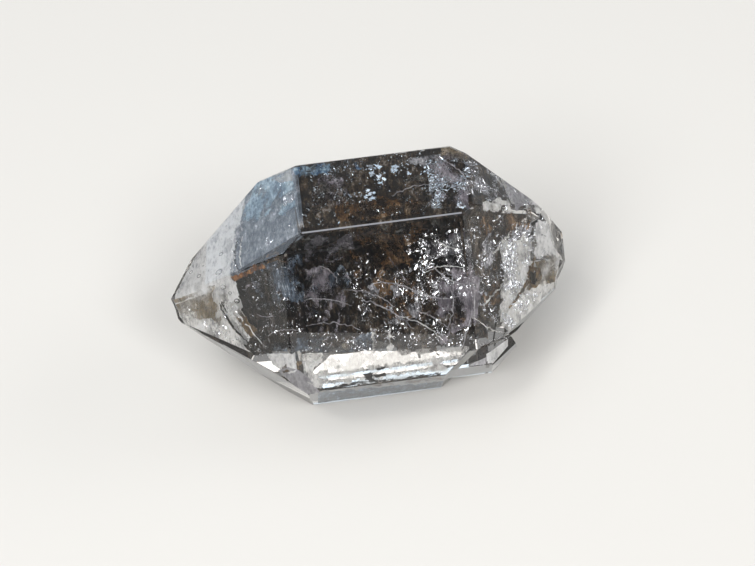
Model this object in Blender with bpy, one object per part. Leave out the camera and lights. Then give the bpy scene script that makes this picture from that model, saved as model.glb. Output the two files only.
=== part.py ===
"""A clear quartz crystal with a point at both ends, stained inside by petroleum, lying on one of its long faces.

The crystal's long axis runs along X, its broken point is at +X, and Z is up from the long face that it lies on.
A long face is named by its direction around the axis: 0 is straight up, 60 and 120 are the two at the front (-Y),
180 is the underside, 240 and 300 are at the back. The faces of the points are named in the same way.
"""

import math

import bmesh
import bpy
from mathutils import Vector

MM = 0.001

# Angle between the long axis and the normal of a point's face, the same in every quartz crystal
POINT_SLOPE = math.radians(51.79)

# Direction around the axis in degrees, and distance from the axis in mm
LONG_FACES = {0: 4.73, 60: 3.54, 120: 5.20, 180: 4.73, 240: 3.90, 300: 4.97}

# Direction around the axis, and how far from the middle the face meets the long axis in mm.
# One front face and one top face lean a few degrees, as they grew.
LEFT_POINT = {0: 8.63, 57: 8.20, 120: 9.92, 180: 10.63, 240: 10.37, 300: 10.80}
RIGHT_POINT = {2.5: 10.96, 60: 8.92, 120: 10.46, 180: 10.61, 240: 11.30, 300: 10.74}

# From here on, a plane is given by its direction around the axis and its tilt from +X, both in degrees, and its
# distance from the middle in mm

# The small facet at the front lower left corner
CORNER_FACET = (90, 114.4, 5.64)

# The long narrow facet along the front of the underside, which widens to the right
LOWER_FACET = (150, 88.5, 5.68)

# Flat breaks that took the right point off
TIP_BREAKS = ((352, 38, 7.80), (10, 26, 8.22), (45, 24, 8.14), (84, 24, 8.46), (215, 30, 8.40))

# Shell-shaped breaks, each the dish that a ball leaves: the ball's centre and radius in mm
SHELL_BREAKS = (
    ((11.36, -1.75, -1.35), 2.95),
    ((11.66, -0.20, 1.50), 3.20),
    ((10.75, 2.30, -2.30), 2.60),
    ((-11.20, 0.75, -1.80), 2.35),
    ((2.90, 7.30, 0.70), 2.33),
    ((-3.90, 6.92, 1.90), 2.00),
)

# Small crystal grown on the lower right corner, in line with the large one. Its faces are given as the large one's
# are. Its top, its end, its back and its side of the groove are where it meets the large one.
SMALL_LONG_FACES = {60: 3.47, 120: 4.98, 180: 3.48}
SMALL_RIGHT_POINT = {60: 9.33, 120: 11.42, 180: 9.80}
SMALL_TOP = (329, 89.6, -2.90)
SMALL_END = (313.7, 28.5, 3.70)
SMALL_BACK = -1.6
GROOVE_SMALL_SIDE = (10.1, 121.2, -2.36)

# The corner of the large crystal that the small one took the place of, parted from it by a groove
GROOVE_LARGE_SIDE = (122.0, 53.7, 5.86)
JOIN_DEPTH = 0.10

# Steps of growth on the faces at the back and below: each is a crystal like the large one, with some faces
# further out than the large one's and the rest held back, in mm
STEP_INSET = 0.45
GROWTH_STEPS = (
    {"long": {240: 0.13}, "left": 1.60, "right": 1.10},
    {"long": {300: 0.10}, "left": 0.70, "right": 2.30},
)

# Width of the strip worn off each edge, and the block that every shape is cut from
EDGE_WEAR = 0.07
START_SIZE = 30.0
SMALLEST_EDGE = 0.004
BALL_DETAIL = 4

GLASS_COLOUR = (0.93, 0.91, 0.88, 1.0)
GLASS_ROUGHNESS = 0.06
GLASS_IOR = 1.544


def direction(around, tilt):
    """A face's outward normal: its direction around the long axis in degrees, and its tilt from +X in radians."""
    turn = math.radians(around)
    return Vector((math.cos(tilt), -math.sin(tilt) * math.sin(turn), math.sin(tilt) * math.cos(turn)))


def long_planes(faces):
    """The planes of long faces, as pairs of normal and distance."""
    return [(direction(around, math.pi / 2), distance) for around, distance in faces.items()]


def point_planes(faces, tilt):
    """The planes of a point's faces, each meeting the long axis at its own distance from the middle."""
    return [(direction(around, tilt), reach * abs(math.cos(tilt))) for around, reach in faces.items()]


def free_plane(around, tilt_degrees, distance):
    """A plane at any tilt."""
    return (direction(around, math.radians(tilt_degrees)), distance)


def cut_flat(mesh, normal, distance):
    """Cuts a block flat along a plane, and closes it there."""
    cut = bmesh.ops.bisect_plane(
        mesh, geom=mesh.verts[:] + mesh.edges[:] + mesh.faces[:], plane_co=normal * distance, plane_no=normal,
        clear_outer=True)
    rim = [piece for piece in cut["geom_cut"] if isinstance(piece, bmesh.types.BMEdge)]
    if rim:
        bmesh.ops.edgeloop_fill(mesh, edges=rim)
    bmesh.ops.remove_doubles(mesh, verts=mesh.verts[:], dist=SMALLEST_EDGE)
    bmesh.ops.recalc_face_normals(mesh, faces=mesh.faces[:])


def worn_edges(mesh, width):
    """The planes that take a strip of the given width off each edge."""
    planes = []
    for edge in mesh.edges:
        first, second = [face.normal for face in edge.link_faces]
        normal = (first + second).normalized()
        depth = width * math.tan(first.angle(second) / 2) / 2
        planes.append((normal, normal.dot(edge.verts[0].co) - depth))
    return planes


def cut_block(planes, wear=0):
    """A block cut flat along each plane, with its edges worn to the given width, in mm."""
    mesh = bmesh.new()
    bmesh.ops.create_cube(mesh, size=START_SIZE)
    for normal, distance in planes:
        cut_flat(mesh, normal, distance)
    if wear:
        for normal, distance in worn_edges(mesh, wear):
            cut_flat(mesh, normal, distance)
    return mesh


def ball(centre, radius):
    """A ball that cuts a shell-shaped break."""
    mesh = bmesh.new()
    bmesh.ops.create_icosphere(mesh, subdivisions=BALL_DETAIL, radius=radius)
    bmesh.ops.translate(mesh, verts=mesh.verts[:], vec=Vector(centre))
    return mesh


def place(name, mesh, middle):
    """Makes an object of a mesh drawn in mm about the crystal's middle, which stands at the given place."""
    data = bpy.data.meshes.new(name)
    mesh.to_mesh(data)
    mesh.free()
    thing = bpy.data.objects.new(name, data)
    thing.location = middle * MM
    thing.scale = (MM, MM, MM)
    bpy.context.scene.collection.objects.link(thing)
    return thing


def combine(crystal, other, operation):
    """Joins a helper shape to the crystal, or cuts it away."""
    other.hide_render = True
    other.display_type = "WIRE"
    step = crystal.modifiers.new(other.name, "BOOLEAN")
    step.operation = operation
    step.solver = "EXACT"
    step.object = other


def quartz_material():
    """Clear, slightly smoky quartz."""
    material = bpy.data.materials.new("clear_quartz")
    material.use_nodes = True
    surface = material.node_tree.nodes["Principled BSDF"]
    surface.inputs["Base Color"].default_value = GLASS_COLOUR
    surface.inputs["Roughness"].default_value = GLASS_ROUGHNESS
    surface.inputs["Metallic"].default_value = 0.0
    surface.inputs["IOR"].default_value = GLASS_IOR
    surface.inputs["Transmission Weight"].default_value = 1.0
    return material


def large_planes(extra_long=None, left_inset=0.0, right_inset=0.0):
    """The large crystal's planes, or those of a growth step on it."""
    long_faces = dict(LONG_FACES)
    if extra_long:
        long_faces = {around: distance - STEP_INSET for around, distance in LONG_FACES.items()}
        for around, out in extra_long.items():
            long_faces[around] = LONG_FACES[around] + out
    left = {around: reach - left_inset for around, reach in LEFT_POINT.items()}
    right = {around: reach - right_inset for around, reach in RIGHT_POINT.items()}
    planes = long_planes(long_faces)
    planes += point_planes(left, math.pi - POINT_SLOPE)
    planes += point_planes(right, POINT_SLOPE)
    return planes


def middle_of_the_underside(mesh):
    """The point under the middle of the crystal's own box."""
    low = [min(vert.co[axis] for vert in mesh.verts) for axis in range(3)]
    high = [max(vert.co[axis] for vert in mesh.verts) for axis in range(3)]
    return Vector(((low[0] + high[0]) / 2, (low[1] + high[1]) / 2, low[2]))


for old in list(bpy.data.objects):
    bpy.data.objects.remove(old)

# The large crystal with its broken right point
planes = large_planes()
planes += [free_plane(*plane) for plane in (CORNER_FACET, LOWER_FACET, *TIP_BREAKS)]
large = cut_block(planes, EDGE_WEAR)
middle = -middle_of_the_underside(large)
crystal = place("crystal", large, middle)
crystal.data.materials.append(quartz_material())

# Steps of growth
for number, step in enumerate(GROWTH_STEPS):
    layer = cut_block(large_planes(step["long"], step["left"], step["right"]))
    combine(crystal, place("growth_step_%d" % number, layer, middle), "UNION")

# The corner where the small crystal grew
groove_normal, groove_distance = free_plane(*GROOVE_LARGE_SIDE)
top_normal, top_distance = free_plane(*SMALL_TOP)
corner_planes = [
    (-groove_normal, -groove_distance),
    (top_normal, top_distance - JOIN_DEPTH),
    (Vector((0, 1, 0)), SMALL_BACK - JOIN_DEPTH),
]
combine(crystal, place("corner", cut_block(corner_planes), middle), "DIFFERENCE")

# The small crystal
small_planes = long_planes(SMALL_LONG_FACES) + point_planes(SMALL_RIGHT_POINT, POINT_SLOPE)
small_planes += [free_plane(*plane) for plane in (SMALL_TOP, SMALL_END, GROOVE_SMALL_SIDE)]
small_planes.append((Vector((0, 1, 0)), SMALL_BACK))
combine(crystal, place("small_crystal", cut_block(small_planes), middle), "UNION")

# Shell-shaped breaks at the points and on two edges
for number, (centre, radius) in enumerate(SHELL_BREAKS):
    combine(crystal, place("shell_break_%d" % number, ball(centre, radius), middle), "DIFFERENCE")
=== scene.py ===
import math
import random

import bmesh
import bpy
from mathutils import Matrix, Vector, noise
from mathutils.bvhtree import BVHTree


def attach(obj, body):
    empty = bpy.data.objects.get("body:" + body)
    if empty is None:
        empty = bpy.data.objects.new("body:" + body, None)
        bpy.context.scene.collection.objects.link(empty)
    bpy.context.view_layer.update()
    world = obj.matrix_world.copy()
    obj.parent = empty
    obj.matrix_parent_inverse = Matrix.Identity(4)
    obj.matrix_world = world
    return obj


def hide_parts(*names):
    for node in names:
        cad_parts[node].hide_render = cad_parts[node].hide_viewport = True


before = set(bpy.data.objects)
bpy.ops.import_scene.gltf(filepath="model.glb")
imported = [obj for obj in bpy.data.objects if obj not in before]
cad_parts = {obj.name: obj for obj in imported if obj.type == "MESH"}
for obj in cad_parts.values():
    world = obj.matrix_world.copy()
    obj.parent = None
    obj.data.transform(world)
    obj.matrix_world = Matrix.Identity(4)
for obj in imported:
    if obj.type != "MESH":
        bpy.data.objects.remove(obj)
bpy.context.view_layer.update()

# The floor and the camera
# A plain sheet of pale paper, and a camera above the crystal's front, turned a little so that the crystal
# climbs to the right, as in the photograph. The sheet lies a hair below the crystal, so that no two faces
# share a place.
MM = 0.001
FLOOR_SIZE = 0.9
FLOOR_DROP = 0.02
FLOOR_COLOUR = (0.68, 0.67, 0.65, 1)
FLOOR_ROUGHNESS = 0.8
PICTURE_MIDDLE = (377.5, 283.0)
FOCAL_PIXELS = 1643.0
PICTURE_WIDTH = 755
SENSOR = 36.0
NEAREST_SEEN = 0.001
CAMERA_PLACE = Vector((0.06, -52.24, 59.84)) * MM
CAMERA_RIGHT = Vector((0.992, -0.095, -0.0831))
CAMERA_BACK = Vector((-0.0045, -0.6845, 0.729))

back = CAMERA_BACK.normalized()
right = (CAMERA_RIGHT - back * CAMERA_RIGHT.dot(back)).normalized()
up = back.cross(right)

view = bpy.data.cameras.new("camera")
view.sensor_width = SENSOR
view.lens = SENSOR * FOCAL_PIXELS / PICTURE_WIDTH
view.clip_start = NEAREST_SEEN
camera = bpy.data.objects.new("camera", view)
bpy.context.scene.collection.objects.link(camera)
camera.matrix_world = Matrix.Translation(CAMERA_PLACE) @ Matrix((right, up, back)).transposed().to_4x4()
bpy.context.scene.camera = camera


def surface(name, settings):
    """A material with these settings on its shader."""
    material = bpy.data.materials.new(name)
    material.use_nodes = True
    for socket, value in settings.items():
        material.node_tree.nodes["Principled BSDF"].inputs[socket].default_value = value
    return material


sheet = bmesh.new()
bmesh.ops.create_grid(sheet, x_segments=1, y_segments=1, size=FLOOR_SIZE / 2)
floor_mesh = bpy.data.meshes.new("floor")
sheet.to_mesh(floor_mesh)
sheet.free()
floor_mesh.materials.append(surface("pale paper", {"Base Color": FLOOR_COLOUR, "Roughness": FLOOR_ROUGHNESS}))
floor = bpy.data.objects.new("floor", floor_mesh)
bpy.context.scene.collection.objects.link(floor)
floor.location.z = -FLOOR_DROP * MM

# The crystal's skin
# One clear quartz crystal with a point at both ends, grown free in an open pocket, so that every side has
# its faces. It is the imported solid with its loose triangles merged; the ridge between the top face and the
# front one is worn to a narrow frosted strip.
QUARTZ_IOR = 1.544
QUARTZ_TINT = (0.96, 0.94, 0.91)
QUARTZ_DENSITY = 60
WORN_COLOUR = (0.30, 0.31, 0.35, 1)
WORN_ROUGHNESS = 0.5
WORN_CLEARNESS = 0.35
MERGE_DISTANCE = 0.002
SAME_FACE_ANGLE = 0.3
LONG_AXIS_PLACE = Vector((0, -0.04, 4.73)) * MM
RIDGE_AROUND = 30.0
RIDGE_DEPTH = 0.001
ON_RIDGE = 0.9995


def soak(material, tint, density):
    """Gives a see-through material a tint that deepens with the way through it."""
    tree = material.node_tree
    absorb = tree.nodes.new("ShaderNodeVolumeAbsorption")
    absorb.inputs["Color"].default_value = (*tint, 1)
    absorb.inputs["Density"].default_value = density
    tree.links.new(absorb.outputs["Volume"], tree.nodes["Material Output"].inputs["Volume"])


clear = surface("clear quartz", {
    "Base Color": (1, 1, 1, 1), "Roughness": 0.0, "IOR": QUARTZ_IOR, "Transmission Weight": 1.0})
soak(clear, QUARTZ_TINT, QUARTZ_DENSITY)
worn = surface("worn ridge", {
    "Base Color": WORN_COLOUR, "Roughness": WORN_ROUGHNESS, "IOR": QUARTZ_IOR,
    "Transmission Weight": WORN_CLEARNESS})

shape = bmesh.new()
shape.from_mesh(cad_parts["crystal"].data)
bmesh.ops.remove_doubles(shape, verts=shape.verts, dist=MERGE_DISTANCE * MM)
bmesh.ops.dissolve_limit(
    shape, angle_limit=math.radians(SAME_FACE_ANGLE), verts=shape.verts, edges=shape.edges)
skin_tree = BVHTree.FromBMesh(shape)

ridge_way = Vector((0, -math.sin(math.radians(RIDGE_AROUND)), math.cos(math.radians(RIDGE_AROUND))))
ridge_top = max(ridge_way.dot(vert.co - LONG_AXIS_PLACE) for vert in shape.verts)
ridge_cut = bmesh.ops.bisect_plane(
    shape, geom=shape.verts[:] + shape.edges[:] + shape.faces[:], plane_no=ridge_way,
    plane_co=LONG_AXIS_PLACE + ridge_way * (ridge_top - RIDGE_DEPTH * MM), clear_outer=True)
rim = [piece for piece in ridge_cut["geom_cut"] if isinstance(piece, bmesh.types.BMEdge)]
bmesh.ops.edgeloop_fill(shape, edges=rim)
bmesh.ops.recalc_face_normals(shape, faces=shape.faces)
for face in shape.faces:
    if face.normal.dot(ridge_way) > ON_RIDGE:
        face.material_index = 1

# Bubbles at the points
# Small sealed hollows in the clear quartz of both points, dark-rimmed because their walls turn the light
# away. They are drawn as holes in the same body, with their faces towards the hollow.
FRONT = (380, 280)
LEFT_TOP = (270, 215)
LEFT_FRONT = (240, 310)
RIGHT_FRONT = (510, 260)
END_HIGH = (545, 240)
BUBBLE_DETAIL = 3
BUBBLE_STRETCH = (1.25, 0.9, 0.9)
# The face that a bubble is seen through, by one of that face's pixels, the bubble's own pixel, its width
# and its depth in mm
BUBBLES = (
    (LEFT_TOP, (221, 254), 0.22, 0.22),
    (LEFT_TOP, (191, 272), 0.20, 0.20),
    (LEFT_TOP, (199, 276), 0.22, 0.22),
    (LEFT_TOP, (203, 266), 0.10, 0.15),
    (LEFT_TOP, (213, 238), 0.08, 0.15),
    (LEFT_TOP, (226, 226), 0.07, 0.15),
    (LEFT_TOP, (219, 272), 0.36, 0.30),
    (LEFT_FRONT, (198, 306), 0.34, 0.27),
    (LEFT_FRONT, (206, 309), 0.14, 0.15),
    (LEFT_FRONT, (223, 287), 0.28, 0.25),
    (LEFT_FRONT, (230, 293), 0.16, 0.18),
    (LEFT_FRONT, (237, 301), 0.26, 0.22),
    (LEFT_FRONT, (251, 346), 0.22, 0.20),
    (LEFT_FRONT, (259, 350), 0.24, 0.22),
    (LEFT_FRONT, (266, 347), 0.18, 0.20),
    (LEFT_FRONT, (262, 355), 0.12, 0.15),
    (RIGHT_FRONT, (515, 262), 0.20, 0.20),
    (END_HIGH, (545, 262), 0.20, 0.18),
    (FRONT, (338, 367), 0.15, 0.30),
    (FRONT, (428, 365), 0.10, 0.30),
)


def sight(pixel):
    """The way from the camera through a pixel."""
    return right * (pixel[0] - PICTURE_MIDDLE[0]) - up * (pixel[1] - PICTURE_MIDDLE[1]) - back * FOCAL_PIXELS


def look_in(pixel, through):
    """Where a pixel's line of sight enters the face that another pixel shows, and its way on inside."""
    on_face, normal = skin_tree.ray_cast(CAMERA_PLACE, sight(through))[:2]
    ray = sight(pixel).normalized()
    entry = CAMERA_PLACE + ray * ((on_face - CAMERA_PLACE).dot(normal) / ray.dot(normal))
    slant = -ray.dot(normal) / QUARTZ_IOR
    bent = ray / QUARTZ_IOR + normal * (slant - math.sqrt(1 - 1 / QUARTZ_IOR ** 2 + slant ** 2))
    return entry, bent.normalized()


for through, pixel, width, depth in BUBBLES:
    entry, way = look_in(pixel, through)
    made = bmesh.ops.create_icosphere(shape, subdivisions=BUBBLE_DETAIL, radius=width / 2 * MM)
    faces = {face for vert in made["verts"] for face in vert.link_faces}
    bmesh.ops.reverse_faces(shape, faces=list(faces))
    bmesh.ops.scale(shape, verts=made["verts"], vec=BUBBLE_STRETCH)
    bmesh.ops.translate(shape, verts=made["verts"], vec=entry + way * depth * MM)

skin = bpy.data.meshes.new("quartz")
shape.to_mesh(skin)
shape.free()
skin.shade_flat()
skin.materials.append(clear)
skin.materials.append(worn)
quartz = bpy.data.objects.new("quartz", skin)
bpy.context.scene.collection.objects.link(quartz)
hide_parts("crystal")
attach(quartz, "root")

# The smoky middle
# Petroleum has seeped into the middle of the crystal along many fine cracks and browned it. It is drawn as
# lumps that only absorb light, and bend none.
SMOKE_TINT = (0.42, 0.33, 0.25)
SMOKE_DENSITY = 900
SMOKE_DETAIL = 5
SMOKE_SWELL = 0.45
SMOKE_WAVES = 1.9
# Name, middle and reach along each axis in mm, and seed
SMOKE_LUMPS = (
    ("smoke_middle", (0.3, 0.9, 4.4), (3.9, 1.7, 1.4), 3),
    ("smoke_left", (-3.1, 1.1, 4.5), (1.8, 1.4, 1.3), 8),
    ("smoke_right", (4.0, 0.9, 4.5), (1.8, 1.4, 1.3), 5),
)


def add_piece(name, build, material):
    """Makes a piece of the crystal from a finished bmesh."""
    data = bpy.data.meshes.new(name)
    build.to_mesh(data)
    build.free()
    data.materials.append(material)
    piece = bpy.data.objects.new(name, data)
    bpy.context.scene.collection.objects.link(piece)
    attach(piece, "root")


smoke = surface("petroleum smoke", {
    "Base Color": (1, 1, 1, 1), "Roughness": 0.0, "IOR": 1.0, "Transmission Weight": 1.0})
soak(smoke, SMOKE_TINT, SMOKE_DENSITY)

for name, middle, radii, seed in SMOKE_LUMPS:
    lump = bmesh.new()
    bmesh.ops.create_icosphere(lump, subdivisions=SMOKE_DETAIL, radius=1.0)
    for vert in lump.verts:
        swell = 1 + SMOKE_SWELL * noise.fractal(vert.co * SMOKE_WAVES + Vector((seed, 0, 0)), 1.0, 2.0, 5)
        vert.co = Vector([middle[k] + radii[k] * vert.co[k] * swell for k in range(3)]) * MM
    for face in lump.faces:
        face.smooth = True
    add_piece(name, lump, smoke)

# Black stains and painted shade
# Healed cracks that petroleum has filled and blackened, across the whole middle of the crystal; their black
# is also painted shade for the dark seen through the crystal, and the blue-grey haze sheet is a painted
# sheen. Each is a thin wrinkled sheet under a face, placed where the photograph shows it through that face.
TOP = (380, 180)
RIGHT_TOP = (500, 190)
SOFT = (0.30, 0.06)
FLAT = (0.08, 0.04)
FILM = 0.012
SHALLOWEST = 0.12
CLEAR_OF_SKIN = 0.05
TEAR_SHARE = 0.6
SMALLEST_TEAR = 4
LARGEST_TEAR = 22
BROAD_WAVE = 40
FINE_WAVE = (6, 14)
SHADE_STOPS = (0.41, 0.48, 0.53, 0.575, 0.62)
COARSE_GRAIN = (1.6, 1.5, 6, 0.7)
FINE_GRAIN = (8.0, 3.0, 5, 0.8)
PATCHES = (1.1, 1.3, 6, 0.65)
BUMP_STRENGTH = 0.6
BUMP_HEIGHT = 0.05


def between(corners, u, v):
    """The point between four corners, at these shares of the way across and down."""
    shares = ((1 - u) * (1 - v), u * (1 - v), u * v, (1 - u) * v)
    return [sum(share * corner[k] for share, corner in zip(shares, corners)) for k in range(len(corners[0]))]


def buried(place):
    """Whether a place is well inside the crystal."""
    skin_point, normal = skin_tree.find_nearest(place)[:2]
    return (skin_point - place).dot(normal) > CLEAR_OF_SKIN * MM


def finish_film(name, build, outside, thickness, material):
    """Cuts away what lies outside a film, gives it its thickness, and makes it a piece."""
    bmesh.ops.delete(build, geom=outside, context="VERTS")
    bmesh.ops.recalc_face_normals(build, faces=build.faces)
    bmesh.ops.solidify(build, geom=build.faces[:], thickness=thickness * MM)
    add_piece(name, build, material)


def veil(name, through, cells, wrinkle, ragged, seed, material, corners):
    """A thin sheet between four corners, with how ragged its four sides are."""
    build = bmesh.new()
    bmesh.ops.create_grid(build, x_segments=cells[0], y_segments=cells[1], size=0.5)
    upper_left = Vector(corners[0][:2])
    shorter = min((Vector(corners[side][:2]) - upper_left).length for side in (1, 3))
    tear = max(SMALLEST_TEAR, min(LARGEST_TEAR, TEAR_SHARE * shorter))
    outside = []
    for vert in build.verts:
        u, v = vert.co.x + 0.5, 0.5 - vert.co.y
        across, down, depth = between(corners, u, v)
        rough = 0.5 + noise.fractal(Vector((across / tear, down / tear, seed)), 1.0, 2.0, 4)
        torn = any(side < amount * rough for side, amount in zip((u, v, 1 - u, 1 - v), ragged) if amount)
        broad = noise.fractal(Vector((across / BROAD_WAVE, down / BROAD_WAVE, seed + 7)), 1.0, 2.0, 3)
        fine = noise.fractal(Vector((across / FINE_WAVE[0], down / FINE_WAVE[1], seed + 3)), 0.8, 2.0, 3)
        entry, way = look_in((across, down), through)
        vert.co = entry + way * (max(SHALLOWEST, depth + wrinkle[0] * broad + wrinkle[1] * fine) * MM)
        if torn or not buried(vert.co):
            outside.append(vert)
    finish_film(name, build, outside, FILM, material)


def ramp(tree, source, stops):
    """A colour ramp with the given stops."""
    node = tree.nodes.new("ShaderNodeValToRGB")
    while len(node.color_ramp.elements) < len(stops):
        node.color_ramp.elements.new(0.5)
    for element, (position, colour) in zip(node.color_ramp.elements, stops):
        element.position = position
        element.color = (*colour, 1)
    tree.links.new(source, node.inputs["Fac"])
    return node.outputs["Color"]


def grain(tree, scale, stretch, detail, rough):
    """A noise in the crystal's own coordinates, with this many waves to a mm, drawn out across its length."""
    place = tree.nodes.new("ShaderNodeTexCoord")
    turn = tree.nodes.new("ShaderNodeMapping")
    turn.inputs["Scale"].default_value = [scale / MM, scale / stretch / MM, scale / stretch / MM]
    pattern = tree.nodes.new("ShaderNodeTexNoise")
    pattern.inputs["Scale"].default_value = 1
    pattern.inputs["Detail"].default_value = detail
    pattern.inputs["Roughness"].default_value = rough
    tree.links.new(place.outputs["Object"], turn.inputs["Vector"])
    tree.links.new(turn.outputs["Vector"], pattern.inputs["Vector"])
    return pattern.outputs["Fac"]


def stained(name, cover, clearest, densest, shades, metallic=0.0, roughness=0.3, shine=0.5, fade=0.10):
    """A mottled stain in five shades, from dark to light, which covers part of its sheet and fades out."""
    material = surface(name, {"Roughness": roughness, "Metallic": metallic, "Specular IOR Level": shine})
    tree = material.node_tree
    coat = tree.nodes["Principled BSDF"]
    coarse = grain(tree, *COARSE_GRAIN)
    fine = grain(tree, *FINE_GRAIN)
    both = tree.nodes.new("ShaderNodeMath")
    both.operation = "ADD"
    tree.links.new(coarse, both.inputs[0])
    tree.links.new(fine, both.inputs[1])
    half = tree.nodes.new("ShaderNodeMath")
    half.operation = "MULTIPLY"
    half.inputs[1].default_value = 0.5
    tree.links.new(both.outputs["Value"], half.inputs[0])
    mottled = ramp(tree, half.outputs["Value"], list(zip(SHADE_STOPS, shades)))
    tree.links.new(mottled, coat.inputs["Base Color"])
    edges = [(0.5 - cover, (clearest,) * 3), (0.5 - cover + fade, (densest,) * 3)]
    tree.links.new(ramp(tree, grain(tree, *PATCHES), edges), coat.inputs["Alpha"])
    bump = tree.nodes.new("ShaderNodeBump")
    bump.inputs["Strength"].default_value = BUMP_STRENGTH
    bump.inputs["Distance"].default_value = BUMP_HEIGHT * MM
    tree.links.new(fine, bump.inputs["Height"])
    tree.links.new(bump.outputs["Normal"], coat.inputs["Normal"])
    return material


# The black and soot stains are partly painted shade: darker than the oil itself, to stand for the dark seen
# through the crystal.
black = stained("black stain and painted shade", 0.14, 0.6, 0.98, (
    (0.008, 0.006, 0.005), (0.022, 0.016, 0.011), (0.060, 0.042, 0.025), (0.14, 0.105, 0.070),
    (0.42, 0.39, 0.37)))
soot_and_shade = stained("black soot and painted shade", 0.20, 0.7, 0.98, (
    (0.003, 0.003, 0.003), (0.008, 0.007, 0.007), (0.022, 0.016, 0.012), (0.060, 0.046, 0.034),
    (0.26, 0.25, 0.27)), shine=0.1)
# The blue-grey haze is a painted sheen: it paints the bluish gleam that the upper left face mirrors from the
# lamp behind.
painted_sheen = stained("blue-grey painted sheen", 0.20, 0.7, 0.98, (
    (0.060, 0.075, 0.095), (0.15, 0.18, 0.22), (0.28, 0.31, 0.36), (0.44, 0.47, 0.53), (0.88, 0.89, 0.94)))
# Here and in the next tables: name, face, cells, wrinkles, ragged sides, seed, material, and the corners
# clockwise from the upper left, each a pixel and a depth in mm
BLACK_STAINS_AND_SHADE = (
    ("stain_front", FRONT, (124, 84), SOFT, (0, 0, 0, 0.08), 1, black,
     ((284, 233, 5.0), (467, 210, 5.2), (482, 346, 1.4), (300, 351, 1.3))),
    ("stain_lobe", FRONT, (50, 35), FLAT, (0.2, 0, 0.2, 0.3), 7, black,
     ((392, 330, 1.2), (446, 322, 1.2), (440, 357, 0.7), (398, 359, 0.7))),
    ("stain_top", TOP, (112, 50), FLAT, (0, 0.02, 0, 0), 2, black,
     ((292, 156, 0.9), (473, 139, 0.9), (470, 212, 0.4), (300, 232, 0.4))),
    # Painted sheen: this sheet paints the gleam on the upper left face, not a stain.
    ("stain_left_top", LEFT_TOP, (60, 60), FLAT, (0.06, 0.02, 0, 0), 3, painted_sheen,
     ((244, 186, 0.8), (293, 156, 0.5), (301, 232, 0.4), (228, 276, 0.8))),
    # Painted shade: this soot sheet darkens the left front face where the dark is only what is seen through
    # it.
    ("stain_left_front", LEFT_FRONT, (70, 80), FLAT, (0.08, 0, 0, 0.06), 4, soot_and_shade,
     ((230, 278, 1.2), (287, 252, 1.4), (303, 352, 1.4), (252, 352, 1.0))),
    ("stain_right", RIGHT_FRONT, (60, 80), SOFT, (0, 0, 0.2, 0.1), 5, black,
     ((467, 212, 1.6), (530, 214, 1.2), (512, 300, 1.4), (484, 342, 1.4))),
    ("stain_right_top", RIGHT_TOP, (50, 50), FLAT, (0, 0.1, 0.3, 0), 6, black,
     ((466, 152, 0.8), (496, 168, 0.8), (512, 210, 0.8), (468, 210, 0.8))),
)
for row in BLACK_STAINS_AND_SHADE:
    veil(*row)

# Brown oil
# Thinner petroleum, brown to amber, in patches, strips and drops between the black stains and under the
# points' faces. A few patches among it are black again.
brown = stained("brown stain", 0.06, 0.0, 0.92, (
    (0.016, 0.008, 0.003), (0.060, 0.030, 0.010), (0.155, 0.080, 0.028), (0.30, 0.18, 0.085),
    (0.62, 0.49, 0.36)))
rust = stained("rusty oil", 0.10, 0.2, 0.95, (
    (0.030, 0.008, 0.002), (0.11, 0.034, 0.006), (0.28, 0.10, 0.020), (0.42, 0.20, 0.06), (0.65, 0.42, 0.20)))
tan = stained("tan veil", 0.08, 0.0, 0.80, (
    (0.16, 0.12, 0.07), (0.27, 0.215, 0.14), (0.40, 0.335, 0.25), (0.54, 0.48, 0.39), (0.80, 0.76, 0.68)),
    fade=0.22)
amber = stained("amber oil", 0.14, 0.2, 0.95, (
    (0.045, 0.024, 0.008), (0.11, 0.062, 0.022), (0.20, 0.125, 0.050), (0.32, 0.22, 0.11),
    (0.60, 0.50, 0.36)), fade=0.16)
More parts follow.
